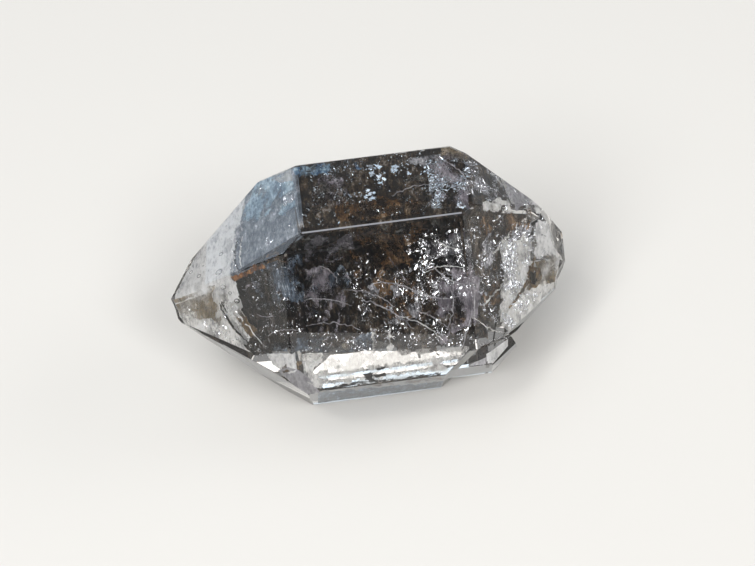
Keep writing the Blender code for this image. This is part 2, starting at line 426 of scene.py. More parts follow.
OIL_PATCHES = (
    ("brown_middle", FRONT, (80, 60), SOFT, (0.3, 0.1, 0.3, 0.3), 31, brown,
     ((340, 222, 5.0), (432, 212, 5.0), (430, 280, 1.8), (348, 276, 1.8))),
    ("brown_low", FRONT, (100, 60), SOFT, (0.3, 0.3, 0.3, 0.3), 32, brown,
     ((340, 264, 1.7), (440, 268, 1.7), (482, 338, 1.0), (380, 322, 1.1))),
    ("brown_top", TOP, (90, 30), FLAT, (0.3, 0.4, 0.3, 0.1), 33, brown,
     ((330, 196, 0.35), (440, 186, 0.35), (440, 213, 0.25), (330, 225, 0.25))),
    ("brown_left", LEFT_FRONT, (40, 50), FLAT, (0.4, 0.3, 0.3, 0.5), 34, brown,
     ((262, 262, 0.9), (300, 246, 0.9), (300, 300, 1.0), (262, 300, 1.0))),
    ("brown_right", RIGHT_FRONT, (70, 30), FLAT, (0, 0.1, 0.3, 0.3), 35, brown,
     ((466, 212, 1.0), (540, 210, 0.5), (534, 236, 0.5), (468, 236, 1.2))),
    ("brown_right_low", RIGHT_FRONT, (40, 50), FLAT, (0.3, 0.3, 0.3, 0.3), 38, brown,
     ((480, 268, 1.0), (506, 262, 0.8), (500, 310, 0.8), (482, 320, 1.0))),
    ("brown_band", LEFT_FRONT, (24, 50), FLAT, (0.15, 0.15, 0.15, 0.15), 36, amber,
     ((229, 311, 0.30), (238, 307, 0.30), (262, 334, 0.35), (253, 342, 0.35))),
    ("dark_bubbles", LEFT_FRONT, (40, 24), FLAT, (0.1, 0.1, 0.1, 0.1), 46, soot_and_shade,
     ((245, 341, 0.42), (270, 339, 0.42), (274, 354, 0.42), (252, 358, 0.42))),
    ("brown_blotch", RIGHT_FRONT, (50, 60), FLAT, (0.3, 0.3, 0.2, 0.2), 30, amber,
     ((527, 262, 0.18), (543, 264, 0.18), (541, 290, 0.18), (524, 292, 0.18))),
    ("dark_blotch", RIGHT_FRONT, (40, 50), FLAT, (0.3, 0.3, 0.2, 0.2), 85, soot_and_shade,
     ((530, 268, 0.14), (539, 270, 0.14), (537, 286, 0.14), (528, 286, 0.14))),
    ("rusty_strip", LEFT_FRONT, (60, 18), FLAT, (0.1, 0.3, 0.1, 0.3), 37, rust,
     ((229, 277, 0.25), (264, 262, 0.25), (266, 268, 0.3), (232, 284, 0.3))),
    ("rusty_drop_a", LEFT_FRONT, (32, 44), FLAT, (0.25, 0.25, 0.25, 0.25), 61, amber,
     ((280, 365, 0.1), (289, 364, 0.1), (289, 377, 0.1), (281, 378, 0.1))),
    ("rusty_drop_b", FRONT, (24, 44), FLAT, (0.25, 0.25, 0.25, 0.25), 62, amber,
     ((295, 360, 0.2), (303, 359, 0.2), (303, 371, 0.2), (296, 372, 0.2))),
    ("yellow_specks", FRONT, (60, 50), FLAT, (0.4, 0.4, 0.4, 0.4), 78, tan,
     ((340, 342, 0.25), (352, 341, 0.25), (352, 350, 0.25), (341, 351, 0.25))),
    ("dark_drop", FRONT, (40, 28), FLAT, (0.35, 0.4, 0.35, 0.2), 63, soot_and_shade,
     ((361, 373, 0.10), (375, 371, 0.10), (376, 381, 0.10), (361, 382, 0.10))),
    ("dark_dash", FRONT, (44, 14), FLAT, (0.2, 0.3, 0.2, 0.2), 47, soot_and_shade,
     ((372, 375, 0.10), (388, 371, 0.10), (388, 376, 0.10), (373, 379, 0.10))),
    ("dark_dash_high", FRONT, (36, 10), FLAT, (0.3, 0.4, 0.3, 0.3), 48, soot_and_shade,
     ((375, 368, 0.10), (388, 366, 0.10), (388, 369, 0.10), (376, 371, 0.10))),
)
for row in OIL_PATCHES:
    veil(*row)

# Lilac veils
# Healed cracks with little oil in them, which scatter a faint lilac light over the dark middle, and a white
# one at the left point; the slate one at the left front is painted highlights. They are the same kind of
# sheet as the stains, and see-through in parts.
lilac = stained("lilac veil", 0.06, 0.0, 0.85, (
    (0.10, 0.09, 0.11), (0.20, 0.18, 0.21), (0.32, 0.29, 0.33), (0.48, 0.45, 0.50), (0.85, 0.84, 0.88)))
# The slate veil is painted reflection: its blue-grey stands for the cool light that the faces mirror.
slate = stained("painted slate reflection", 0.04, 0.0, 0.85, (
    (0.012, 0.017, 0.028), (0.035, 0.050, 0.075), (0.10, 0.14, 0.19), (0.26, 0.32, 0.40), (0.75, 0.82, 0.90)))
plume = stained("thin white plume", 0.03, 0.0, 0.92, (
    (0.34, 0.33, 0.33), (0.66, 0.65, 0.63), (0.86, 0.85, 0.83), (0.94, 0.94, 0.93), (0.97, 0.97, 0.98)))
LILAC_VEILS = (
    ("lilac_top", TOP, (80, 60), FLAT, (0.3, 0.3, 0.3, 0.3), 41, lilac,
     ((306, 172, 0.28), (352, 168, 0.28), (354, 204, 0.28), (308, 208, 0.28))),
    ("lilac_front", FRONT, (60, 40), SOFT, (0.1, 0.2, 0.4, 0.2), 42, lilac,
     ((298, 236, 4.6), (366, 230, 4.6), (360, 264, 2.0), (300, 268, 2.0))),
    ("lilac_front_left", FRONT, (80, 80), SOFT, (0, 0.3, 0.3, 0), 86, lilac,
     ((299, 265, 1.5), (352, 262, 1.5), (352, 332, 1.0), (299, 334, 1.0))),
    # Painted highlights: this slate sheet paints the bluish highlights of the left front face.
    ("lilac_left_inner", LEFT_FRONT, (70, 80), FLAT, (0.3, 0, 0, 0.3), 87, slate,
     ((248, 270, 0.8), (297, 254, 0.8), (300, 312, 0.8), (262, 320, 0.8))),
    ("lilac_top_right", TOP, (70, 80), FLAT, (0.3, 0, 0, 0.1), 88, lilac,
     ((424, 160, 0.34), (470, 150, 0.34), (468, 212, 0.3), (428, 212, 0.3))),
    ("lilac_right", FRONT, (66, 74), SOFT, (0.3, 0.1, 0, 0.3), 89, lilac,
     ((424, 228, 4.9), (480, 222, 4.9), (482, 302, 1.5), (426, 298, 1.5))),
    ("lilac_low", FRONT, (60, 70), SOFT, (0.4, 0.4, 0.1, 0.4), 43, lilac,
     ((420, 262, 1.6), (476, 262, 1.6), (478, 345, 0.9), (430, 345, 0.9))),
    ("lilac_left", LEFT_FRONT, (20, 60), FLAT, (0.2, 0.1, 0.2, 0.1), 44, plume,
     ((216, 292, 0.4), (224, 289, 0.4), (252, 334, 0.4), (243, 340, 0.4))),
)
for row in LILAC_VEILS:
    veil(*row)

# Blue veils of painted reflection
# Sheets coloured blue at the upper left and in the narrow strip under the white band, and slate ones
# above the band: their blue is painted reflection of the cool light from behind, which the faces there
# mirror. One brown streak of oil lies in the strip with them.
STRIP = (380, 392)
# The blue, sky and steel veils are painted reflection: blue where the faces mirror the cool light from
# behind.
blue = stained("painted blue reflection", 0.05, 0.0, 0.90, (
    (0.03, 0.06, 0.12), (0.08, 0.16, 0.28), (0.20, 0.34, 0.50), (0.42, 0.60, 0.74), (0.80, 0.92, 1.0)))
sky = stained("painted sky blue reflection", 0.08, 0.0, 0.92, (
    (0.07, 0.12, 0.19), (0.20, 0.31, 0.42), (0.42, 0.57, 0.68), (0.66, 0.80, 0.88), (0.90, 0.97, 1.0)))
steel = stained("painted steel blue reflection", 0.24, 0.6, 0.92, (
    (0.030, 0.055, 0.10), (0.065, 0.11, 0.18), (0.12, 0.19, 0.28), (0.25, 0.36, 0.48), (0.60, 0.76, 0.90)))
BLUE_REFLECTION_VEILS = (
    ("blue_left_top", LEFT_TOP, (80, 80), FLAT, (0.1, 0.02, 0.3, 0.3), 71, sky,
     ((250, 184, 0.25), (296, 160, 0.25), (295, 216, 0.25), (238, 230, 0.25))),
    ("blue_top", TOP, (80, 24), FLAT, (0, 0.1, 0.3, 0.3), 72, blue,
     ((293, 167, 0.25), (366, 157, 0.25), (366, 171, 0.25), (299, 178, 0.25))),
    ("blue_strip", STRIP, (130, 14), FLAT, (0, 0.2, 0, 0), 76, steel,
     ((318, 391, 0.15), (446, 380, 0.15), (441, 387, 0.15), (318, 403, 0.15))),
    ("brown_strip", STRIP, (130, 8), FLAT, (0.15, 0.2, 0.05, 0.3), 77, brown,
     ((344, 386, 0.10), (447, 376, 0.10), (447, 380, 0.10), (345, 390, 0.10))),
    ("slate_low", FRONT, (70, 24), FLAT, (0, 0.5, 0.2, 0.1), 73, slate,
     ((300, 332, 0.9), (392, 326, 0.9), (392, 352, 0.7), (300, 354, 0.7))),
    ("slate_left", LEFT_FRONT, (60, 24), FLAT, (0.1, 0.4, 0, 0.1), 74, slate,
     ((252, 338, 0.6), (300, 334, 0.8), (303, 352, 0.8), (262, 354, 0.6))),
    ("slate_front", FRONT, (50, 60), SOFT, (0.3, 0.3, 0.3, 0.3), 75, slate,
     ((300, 262, 2.0), (350, 258, 2.0), (352, 320, 1.2), (300, 330, 1.2))),
)
for row in BLUE_REFLECTION_VEILS:
    veil(*row)

# White feathers and painted glare
# Sheets of very small bubbles and fine cracks, white as frost, in the points, along the lower band and in
# the small crystal at the right, with thin mist and tan films among them. Their white is also painted glare,
# for the light that shines out of the points; the sheets along the band are painted glare only.
CORNER = (290, 378)
SMALL_FRONT = (470, 365)
SMALL_RIGHT = (495, 354)
END_LOW = (545, 270)
# The feather, frost and mist materials are partly painted glare: whiter than the cracks alone, to paint the
# light shining out of the crystal.
feather_and_glare = stained("white feather and painted glare", 0.12, 0.35, 0.98, (
    (0.30, 0.30, 0.32), (0.78, 0.77, 0.75), (0.92, 0.91, 0.89), (0.96, 0.96, 0.96), (0.98, 0.98, 0.99)))
frost_and_glare = stained("thin frost and painted glare", 0.16, 0.6, 0.96, (
    (0.45, 0.45, 0.47), (0.80, 0.80, 0.80), (0.92, 0.92, 0.92), (0.96, 0.96, 0.97), (0.98, 0.98, 0.99)))
mist_and_glare = stained("thin mist and painted glare", 0.06, 0.0, 0.35, (
    (0.55, 0.53, 0.52), (0.80, 0.78, 0.75), (0.92, 0.91, 0.88), (0.96, 0.96, 0.95), (0.98, 0.98, 0.98)))
pale = stained("pale grey veil", 0.24, 0.6, 0.92, (
    (0.26, 0.25, 0.27), (0.40, 0.39, 0.42), (0.52, 0.51, 0.54), (0.64, 0.63, 0.66), (0.85, 0.85, 0.88)))
FEATHERS_AND_GLARE = (
    ("feather_left", LEFT_FRONT, (60, 60), FLAT, (0, 0, 0.05, 0), 51, feather_and_glare,
     ((172, 300, 0.40), (214, 286, 0.50), (250, 352, 0.50), (181, 322, 0.35))),
    ("feather_left_lumps", LEFT_FRONT, (40, 50), FLAT, (0.1, 0.1, 0.3, 0.3), 55, frost_and_glare,
     ((208, 285, 0.48), (236, 273, 0.48), (246, 306, 0.48), (220, 308, 0.48))),
    ("feather_left_top", LEFT_TOP, (70, 90), FLAT, (0, 0, 0.04, 0), 56, frost_and_glare,
     ((252, 174, 0.5), (247, 188, 0.55), (230, 280, 0.6), (160, 308, 0.30))),
    ("feather_left_seam", LEFT_FRONT, (30, 60), FLAT, (0, 0.2, 0.1, 0.2), 67, frost_and_glare,
     ((221, 302, 0.45), (233, 299, 0.45), (258, 333, 0.5), (249, 342, 0.5))),
    ("tan_left", LEFT_FRONT, (60, 50), FLAT, (0, 0.05, 0.2, 0.2), 52, tan,
     ((173, 299, 0.15), (218, 283, 0.2), (222, 326, 0.2), (182, 318, 0.2))),
    ("cream_left_top", LEFT_TOP, (40, 35), FLAT, (0.3, 0.1, 0.3, 0.3), 57, mist_and_glare,
     ((272, 173, 0.2), (294, 164, 0.2), (295, 184, 0.2), (274, 186, 0.2))),
    # This sky blue sheet is painted reflection, as the blue veils are.
    ("cream_top", TOP, (110, 32), FLAT, (0.25, 0.4, 0.45, 0.3), 58, sky,
     ((296, 166, 0.2), (336, 161, 0.2), (338, 170, 0.2), (298, 176, 0.2))),
    # Painted glare: the band's sheets from here to the mist band paint the light that shines out through the
    # band.
    ("frost_band_left", LEFT_FRONT, (50, 40), FLAT, (0.1, 0.1, 0, 0), 49, frost_and_glare,
     ((264, 353, 0.2), (303, 352, 0.2), (304, 384, 0.2), (272, 364, 0.2))),
    ("frost_band_wedge", FRONT, (60, 70), FLAT, (0, 0.1, 0.5, 0), 50, feather_and_glare,
     ((301, 352, 0.2), (334, 349, 0.2), (322, 388, 0.2), (306, 386, 0.2))),
    ("frost_band_high", FRONT, (200, 12), FLAT, (0, 0.4, 0, 0.4), 27, feather_and_glare,
     ((308, 374, 0.18), (466, 352, 0.18), (466, 359, 0.18), (308, 380, 0.18))),
    ("frost_band_low", FRONT, (180, 12), FLAT, (0, 0.4, 0, 0.4), 28, feather_and_glare,
     ((316, 381, 0.18), (446, 364, 0.18), (446, 371, 0.18), (316, 387, 0.18))),
    ("mist_band", FRONT, (150, 36), FLAT, (0, 0.1, 0, 0.25), 29, mist_and_glare,
     ((304, 352, 0.15), (470, 345, 0.15), (462, 374, 0.15), (312, 392, 0.15))),
    ("mist_corner", CORNER, (60, 50), FLAT, (0, 0, 0, 0), 22, pale,
     ((268, 362, 0.10), (302, 372, 0.10), (322, 394, 0.10), (304, 394, 0.10))),
    ("small_front", SMALL_FRONT, (40, 20), FLAT, (0.1, 0, 0, 0), 24, pale,
     ((450, 374, 0.12), (487, 357, 0.12), (485, 374, 0.12), (450, 382, 0.12))),
    ("small_right", SMALL_RIGHT, (30, 30), FLAT, (0, 0, 0, 0), 25, frost_and_glare,
     ((483, 357, 0.12), (508, 339, 0.12), (508, 346, 0.12), (484, 374, 0.12))),
    ("feather_right", RIGHT_FRONT, (70, 64), FLAT, (0.05, 0, 0, 0.05), 53, feather_and_glare,
     ((519, 288, 0.3), (568, 274, 0.14), (518, 342, 0.14), (500, 326, 0.3))),
    ("pale_right_top", RIGHT_TOP, (60, 60), FLAT, (0.25, 0.05, 0.1, 0.2), 79, pale,
     ((500, 174, 0.3), (514, 180, 0.3), (542, 206, 0.25), (512, 209, 0.3))),
    ("feather_right_corner", RIGHT_FRONT, (50, 50), FLAT, (0.2, 0, 0, 0.1), 23, frost_and_glare,
     ((522, 262, 0.3), (560, 258, 0.25), (556, 284, 0.25), (516, 300, 0.3))),
    ("feather_right_patch", RIGHT_FRONT, (60, 80), (0.15, 0.10), (0.2, 0.2, 0.15, 0.1), 15, feather_and_glare,
     ((500, 236, 0.5), (536, 228, 0.35), (524, 290, 0.4), (500, 300, 0.5))),
    ("feather_right_foot", RIGHT_FRONT, (30, 60), FLAT, (0.2, 0.1, 0.2, 0.1), 59, feather_and_glare,
     ((500, 282, 0.5), (518, 282, 0.4), (508, 326, 0.4), (499, 326, 0.4))),
    ("feather_right_band", RIGHT_TOP, (120, 40), (0.12, 0.12), (0.4, 0.4, 0.4, 0.15), 60, feather_and_glare,
     ((468, 196, 0.25), (512, 198, 0.25), (518, 213, 0.2), (472, 211, 0.25))),
    ("feather_right_edge", RIGHT_TOP, (40, 50), FLAT, (0.4, 0.1, 0.2, 0.2), 64, plume,
     ((500, 172, 0.2), (512, 180, 0.2), (548, 214, 0.2), (524, 212, 0.2))),
    ("feather_end", END_HIGH, (50, 70), FLAT, (0.2, 0.1, 0.1, 0.2), 65, frost_and_glare,
     ((532, 212, 0.25), (558, 220, 0.15), (564, 262, 0.15), (534, 264, 0.25))),
    ("tan_right", END_LOW, (60, 60), FLAT, (0.3, 0.3, 0.1, 0.2), 54, tan,
     ((530, 256, 0.15), (564, 250, 0.12), (560, 286, 0.12), (530, 290, 0.15))),
    ("streak_a", FRONT, (12, 40), FLAT, (0.3, 0.2, 0.3, 0.1), 68, plume,
     ((370, 324, 0.5), (378, 323, 0.5), (377, 354, 0.4), (371, 354, 0.4))),
    ("streak_b", FRONT, (14, 40), FLAT, (0.3, 0.2, 0.3, 0.1), 69, plume,
     ((383, 328, 0.5), (393, 327, 0.5), (394, 353, 0.4), (386, 353, 0.4))),
    ("tan_top", TOP, (40, 20), FLAT, (0.2, 0.05, 0.1, 0.3), 66, tan,
     ((434, 148, 0.15), (466, 144, 0.15), (472, 162, 0.15), (446, 164, 0.15))),
)
for row in FEATHERS_AND_GLARE:
    veil(*row)

# Hair-thin cracks
# The edges of cracks, seen through the crystal's faces as fine curved lines that taper at both ends. Each
# is a narrow sheet that strays a little from its curve.
THREAD_CELLS = (50, 2)
THREAD_FILM = 0.010
STRAY_WAVES = 9
STRAY_ASIDE = 1.6
STRAY_DEPTH = 0.15
THREAD_ENDS = 0.35
UNEVEN_WIDTH = 0.6
UNEVEN_WAVE = 3
UNEVEN_SEED = 5
THINNEST_THREAD = 0.15
# Name, face, the three pixels that the line curves past, its depth in mm, its width in pixels, and material
THREADS = (
    ("thread_a", FRONT, ((389, 257), (400, 276), (428, 302)), 1.2, 1.2, lilac),
    ("thread_b", FRONT, ((346, 290), (376, 290), (394, 307)), 1.0, 1.0, pale),
    ("thread_c", FRONT, ((362, 300), (390, 306), (414, 329)), 1.0, 1.3, pale),
    ("thread_d", FRONT, ((395, 316), (425, 319), (445, 343)), 0.9, 1.0, frost_and_glare),
    ("thread_e", FRONT, ((408, 287), (441, 305), (461, 295)), 1.0, 1.1, pale),
    ("thread_f", RIGHT_FRONT, ((474, 317), (490, 332), (506, 333)), 0.3, 1.2, feather_and_glare),
    ("thread_g", FRONT, ((416, 311), (433, 314), (450, 330)), 0.9, 1.2, pale),
    ("thread_h", FRONT, ((318, 266), (333, 268), (338, 283)), 1.2, 1.0, pale),
    ("thread_i", FRONT, ((470, 280), (480, 322), (449, 368)), 0.5, 1.3, pale),
    ("thread_j", FRONT, ((373, 283), (404, 280), (421, 297)), 1.1, 1.2, pale),
    ("thread_k", FRONT, ((430, 262), (444, 282), (470, 286)), 1.2, 1.1, pale),
    ("thread_l", RIGHT_FRONT, ((493, 254), (501, 246), (511, 231)), 0.3, 3.0, feather_and_glare),
    ("thread_m", RIGHT_FRONT, ((484, 306), (492, 294), (503, 286)), 0.5, 2.0, feather_and_glare),
    ("thread_n", TOP, ((392, 196), (408, 184), (446, 182)), 0.3, 0.9, pale),
    ("thread_o", TOP, ((443, 160), (462, 168), (470, 186)), 0.3, 1.1, pale),
    ("thread_p", LEFT_FRONT, ((244, 290), (254, 278), (264, 289)), 0.5, 2.4, lilac),
    ("thread_q", LEFT_FRONT, ((256, 314), (272, 322), (284, 308)), 0.6, 0.9, lilac),
    ("thread_r", LEFT_FRONT, ((268, 336), (280, 326), (298, 332)), 0.6, 0.8, pale),
    ("thread_s", LEFT_TOP, ((239, 238), (231, 254), (238, 270)), 0.12, 2.2, soot_and_shade),
    ("thread_t", LEFT_TOP, ((243, 236), (238, 252), (241, 268)), 0.12, 1.6, feather_and_glare),
    ("thread_u", LEFT_TOP, ((234, 244), (235, 256), (232, 272)), 0.14, 1.4, feather_and_glare),
    ("thread_v", FRONT, ((302, 300), (330, 296), (352, 306)), 1.0, 0.9, pale),
    ("thread_w", FRONT, ((306, 326), (336, 318), (360, 330)), 0.9, 0.9, pale),
    ("thread_x", FRONT, ((436, 240), (452, 252), (476, 250)), 2.4, 1.2, frost_and_glare),
    ("thread_y", FRONT, ((424, 274), (438, 262), (464, 268)), 1.6, 1.2, frost_and_glare),
    ("thread_z", FRONT, ((450, 286), (458, 310), (446, 330)), 0.8, 1.2, pale),
    ("dark_seam", LEFT_FRONT, ((219, 303), (228, 324), (247, 342)), 0.32, 2.2, soot_and_shade),
    ("pale_seam", LEFT_FRONT, ((222, 302), (238, 312), (262, 344)), 0.28, 1.6, frost_and_glare),
    ("brown_curve", RIGHT_FRONT, ((534, 258), (531, 284), (509, 308)), 0.2, 3.2, amber),
)
for name, through, points, depth, width, material in THREADS:
    start, bend, end = [Vector(point) for point in points]
    build = bmesh.new()
    bmesh.ops.create_grid(build, x_segments=THREAD_CELLS[0], y_segments=THREAD_CELLS[1], size=0.5)
    outside = []
    for vert in build.verts:
        u, side = vert.co.x + 0.5, 2 * vert.co.y
        spot = start * (1 - u) ** 2 + bend * 2 * u * (1 - u) + end * u ** 2
        along = (bend - start) * (1 - u) + (end - bend) * u
        across = Vector((-along.y, along.x)).normalized()
        stray = noise.fractal(Vector((start.x, start.y, u * STRAY_WAVES)), 1.0, 2.0, 3)
        uneven = noise.noise(Vector((spot.x / UNEVEN_WAVE, spot.y / UNEVEN_WAVE, UNEVEN_SEED)))
        swell = THREAD_ENDS + (1 - THREAD_ENDS) * math.sin(math.pi * u) + UNEVEN_WIDTH * uneven
        spot += across * (STRAY_ASIDE * stray + side * width * max(THINNEST_THREAD, swell) / 2)
        entry, way = look_in(spot, through)
        vert.co = entry + way * (depth + STRAY_DEPTH * stray) * MM
        if not buried(vert.co):
            outside.append(vert)
    finish_film(name, build, outside, THREAD_FILM, material)

# Stains towards the back
# The same black and brown films on the crystal's far side, seen through the faces there. The photograph
# doesn't show them, so they are guessed.
BACK_CELLS = (100, 42)
BACK_RAGGED = 0.16
BACK_BROAD_WAVES = 0.6
BACK_FINE_WAVES = 3.0
BACK_WRINKLE = (0.25, 0.06, 0.1)
# Name, four corners in mm, seed and material
BACK_VEILS = (
    ("stain_back_high", ((-4.6, 0.9, 6.3), (4.9, 0.9, 6.3), (4.9, 3.2, 5.1), (-4.6, 3.2, 5.1)), 81, black),
    ("stain_back_low", ((-4.4, 3.1, 4.9), (4.7, 3.1, 4.9), (4.7, 1.3, 2.9), (-4.4, 1.3, 2.9)), 82, black),
    ("brown_back_high", ((-3.4, 1.4, 6.25), (3.6, 1.4, 6.25), (3.6, 3.3, 5.25), (-3.4, 3.3, 5.25)),
     83, brown),
    ("brown_back_low", ((-3.6, 3.2, 4.7), (3.4, 3.2, 4.7), (3.4, 1.6, 2.9), (-3.6, 1.6, 2.9)), 84, brown),
)
for name, corners, seed, material in BACK_VEILS:
    build = bmesh.new()
    bmesh.ops.create_grid(build, x_segments=BACK_CELLS[0], y_segments=BACK_CELLS[1], size=0.5)
    outside = []
    for vert in build.verts:
        u, v = vert.co.x + 0.5, 0.5 - vert.co.y
        spot = Vector(between(corners, u, v))
        rough = 0.5 + noise.fractal(Vector((spot.x, spot.z, seed)), 1.0, 2.0, 4)
        broad = noise.fractal(spot * BACK_BROAD_WAVES + Vector((0, 0, seed)), 1.0, 2.0, 3)
        fine = noise.fractal(spot * BACK_FINE_WAVES + Vector((0, 0, seed)), 0.8, 2.0, 3)
        wrinkle = Vector((0, BACK_WRINKLE[0] * broad + BACK_WRINKLE[1] * fine, BACK_WRINKLE[2] * broad))
        vert.co = (spot + wrinkle) * MM
        if min(u, v, 1 - u, 1 - v) < BACK_RAGGED * rough or not buried(vert.co):
            outside.append(vert)
    finish_film(name, build, outside, FILM, material)

# Silvery cracks
# Open cracks full of gas, which mirror the light where their walls are steep. They are crumpled sheets,
# made and listed as the stains are.
silver = stained("open crack", 0.02, 0.0, 1.0, (
    (0.10, 0.10, 0.11), (0.35, 0.35, 0.38), (0.70, 0.70, 0.74), (0.90, 0.91, 0.95), (0.98, 0.98, 1.0)),
    metallic=0.6, roughness=0.16)
CREASED = (0.30, 0.16)
CRACKS = (
    ("crack_right", FRONT, (130, 120), CREASED, (0.3, 0.3, 0.2, 0.4), 11, silver,
     ((412, 232, 4.8), (482, 224, 4.8), (484, 292, 1.3), (418, 300, 1.3))),
    ("crack_low", FRONT, (130, 90), CREASED, (0.4, 0.4, 0.3, 0.4), 12, silver,
     ((345, 266, 1.5), (430, 272, 1.5), (478, 340, 0.9), (368, 334, 0.9))),
    ("crack_tip", RIGHT_FRONT, (90, 90), (0.2, 0.12), (0.2, 0.2, 0.3, 0.3), 13, silver,
     ((468, 232, 0.9), (536, 224, 0.4), (530, 290, 0.6), (486, 300, 0.9))),
    ("crack_corner", RIGHT_TOP, (90, 90), (0.15, 0.12), (0.2, 0.2, 0.3, 0.2), 14, silver,
     ((464, 156, 0.5), (500, 172, 0.4), (512, 206, 0.4), (468, 208, 0.5))),
    ("crack_top", TOP, (70, 80), (0.12, 0.10), (0.4, 0.2, 0.1, 0.3), 16, silver,
     ((428, 162, 0.4), (468, 156, 0.4), (468, 208, 0.4), (436, 206, 0.4))),
    ("crack_top_middle", TOP, (90, 80), (0.12, 0.10), (0.5, 0, 0, 0.3), 19, silver,
     ((396, 160, 0.36), (470, 150, 0.36), (468, 209, 0.3), (424, 208, 0.3))),
    ("crack_right_low", FRONT, (104, 100), CREASED, (0.4, 0.1, 0.1, 0.4), 20, silver,
     ((420, 236, 4.4), (482, 232, 4.4), (484, 322, 1.0), (430, 318, 1.0))),
    ("crack_left", LEFT_TOP, (24, 90), (0.10, 0.10), (0.3, 0.05, 0.3, 0.05), 17, silver,
     ((236, 198, 0.25), (246, 196, 0.25), (241, 274, 0.25), (228, 276, 0.25))),
    ("crack_band", FRONT, (60, 50), (0.10, 0.10), (0.3, 0.1, 0.3, 0.3), 18, silver,
     ((430, 351, 0.3), (460, 344, 0.3), (456, 366, 0.3), (428, 372, 0.3))),
)
for row in CRACKS:
    veil(*row)

# Glints
# Tiny flat cracks that flash where they face both a lamp and the eye. Each is a thin flake, drawn out
# across the crystal's long axis, as the cracks are.
GLINT_COLOUR = (0.93, 0.95, 1.0, 1)
# The cool colour is painted reflection: a bluer copy of the glint colour, for the flakes that flash from the
# blue lamp behind.
BLUE_REFLECTION_COLOUR = (0.84, 0.92, 1.0, 1)
GLINT_METAL = 0.8
GLINT_ROUGHNESS = 0.22
LONG_AXIS = Vector((1, 0, 0))
FLAKE_THICKNESS = 0.006
NARROWEST = 0.4
BATCH = 150
CROWD_LEAST = 0.4
CROWD_SWING = 2.2
CROWD_WAVE = (12, 16)
DEPTH_SHARES = (0.7, 1.2)
KEY = (205, 62)
BEHIND = (89, 55)
SIDE = (308, 42)
FINE = (0.012, 0.08)
BROAD = (0.02, 0.12)
flash = surface("glint", {"Base Color": GLINT_COLOUR, "Metallic": GLINT_METAL, "Roughness": GLINT_ROUGHNESS})
blue_reflection_flash = surface("glint with painted blue reflection", {
    "Base Color": BLUE_REFLECTION_COLOUR, "Metallic": GLINT_METAL, "Roughness": GLINT_ROUGHNESS})


def lamp_way(around, height):
    """The way towards a lamp at this direction and height in degrees."""
    flat = math.cos(math.radians(height))
    return Vector((flat * math.cos(math.radians(around)), flat * math.sin(math.radians(around)),
                   math.sin(math.radians(height))))


def way_in(lamp, through):
    """The way from inside towards a lamp, bent at the face that a pixel shows."""
    outward = lamp_way(*lamp)
    normal = skin_tree.ray_cast(CAMERA_PLACE, sight(through))[1]
    slant = outward.dot(normal) / QUARTZ_IOR
    bent = outward / QUARTZ_IOR + normal * (math.sqrt(1 - 1 / QUARTZ_IOR ** 2 + slant ** 2) - slant)
    return bent.normalized()


def flake(build, pick, middle, normal, sizes, stretch, swirl):
    """One thin flake with three to five corners."""
    size = sizes[0] + (sizes[1] - sizes[0]) * pick.random() ** 4
    along = LONG_AXIS.cross(normal).normalized()
    turn = Matrix((normal.cross(along), -along, normal)).transposed().to_4x4()
    twist = Matrix.Rotation(pick.gauss(0, swirl), 4, "Z")
    drawn_out = Matrix.Diagonal((pick.uniform(NARROWEST, 1), 1 + stretch * pick.random() ** 2, 1, 1))
    bmesh.ops.create_cone(
        build, cap_ends=True, segments=pick.randint(3, 5), radius1=size * MM / 2, radius2=size * MM / 2,
        depth=FLAKE_THICKNESS * MM, matrix=Matrix.Translation(middle) @ turn @ twist @ drawn_out)


def glints(name, through, count, sizes, stretch, lamp, spread, swirl, seed, corners):
    """Flakes between four corners, each a pixel and a depth, leaning so that they flash from a lamp."""
    pick = random.Random(seed)
    aim = way_in(lamp, through)
    whole = bmesh.new()
    left = count
    while left > 0:
        batch = bmesh.new()
        made = 0
        while made < min(left, BATCH):
            across, down, depth = between(corners, pick.random(), pick.random())
            gather = noise.fractal(Vector((across / CROWD_WAVE[0], down / CROWD_WAVE[1], seed)), 1.0, 2.0, 4)
            if pick.random() > CROWD_LEAST + CROWD_SWING * gather:
                continue
            entry, way = look_in((across, down), through)
            middle = entry + way * (depth * MM * pick.uniform(*DEPTH_SHARES))
            made += 1
            if not buried(middle):
                continue
            normal = (aim - way).normalized()
            normal += Vector([pick.gauss(0, spread) for axis in range(3)])
            normal.normalize()
            flake(batch, pick, middle, normal, sizes, stretch, swirl)
        held = bpy.data.meshes.new("batch")
        batch.to_mesh(held)
        batch.free()
        whole.from_mesh(held)
        bpy.data.meshes.remove(held)
        left -= BATCH
    # Flakes lit from behind get the copy with the painted blue reflection.
    add_piece(name, whole, blue_reflection_flash if lamp == BEHIND else flash)


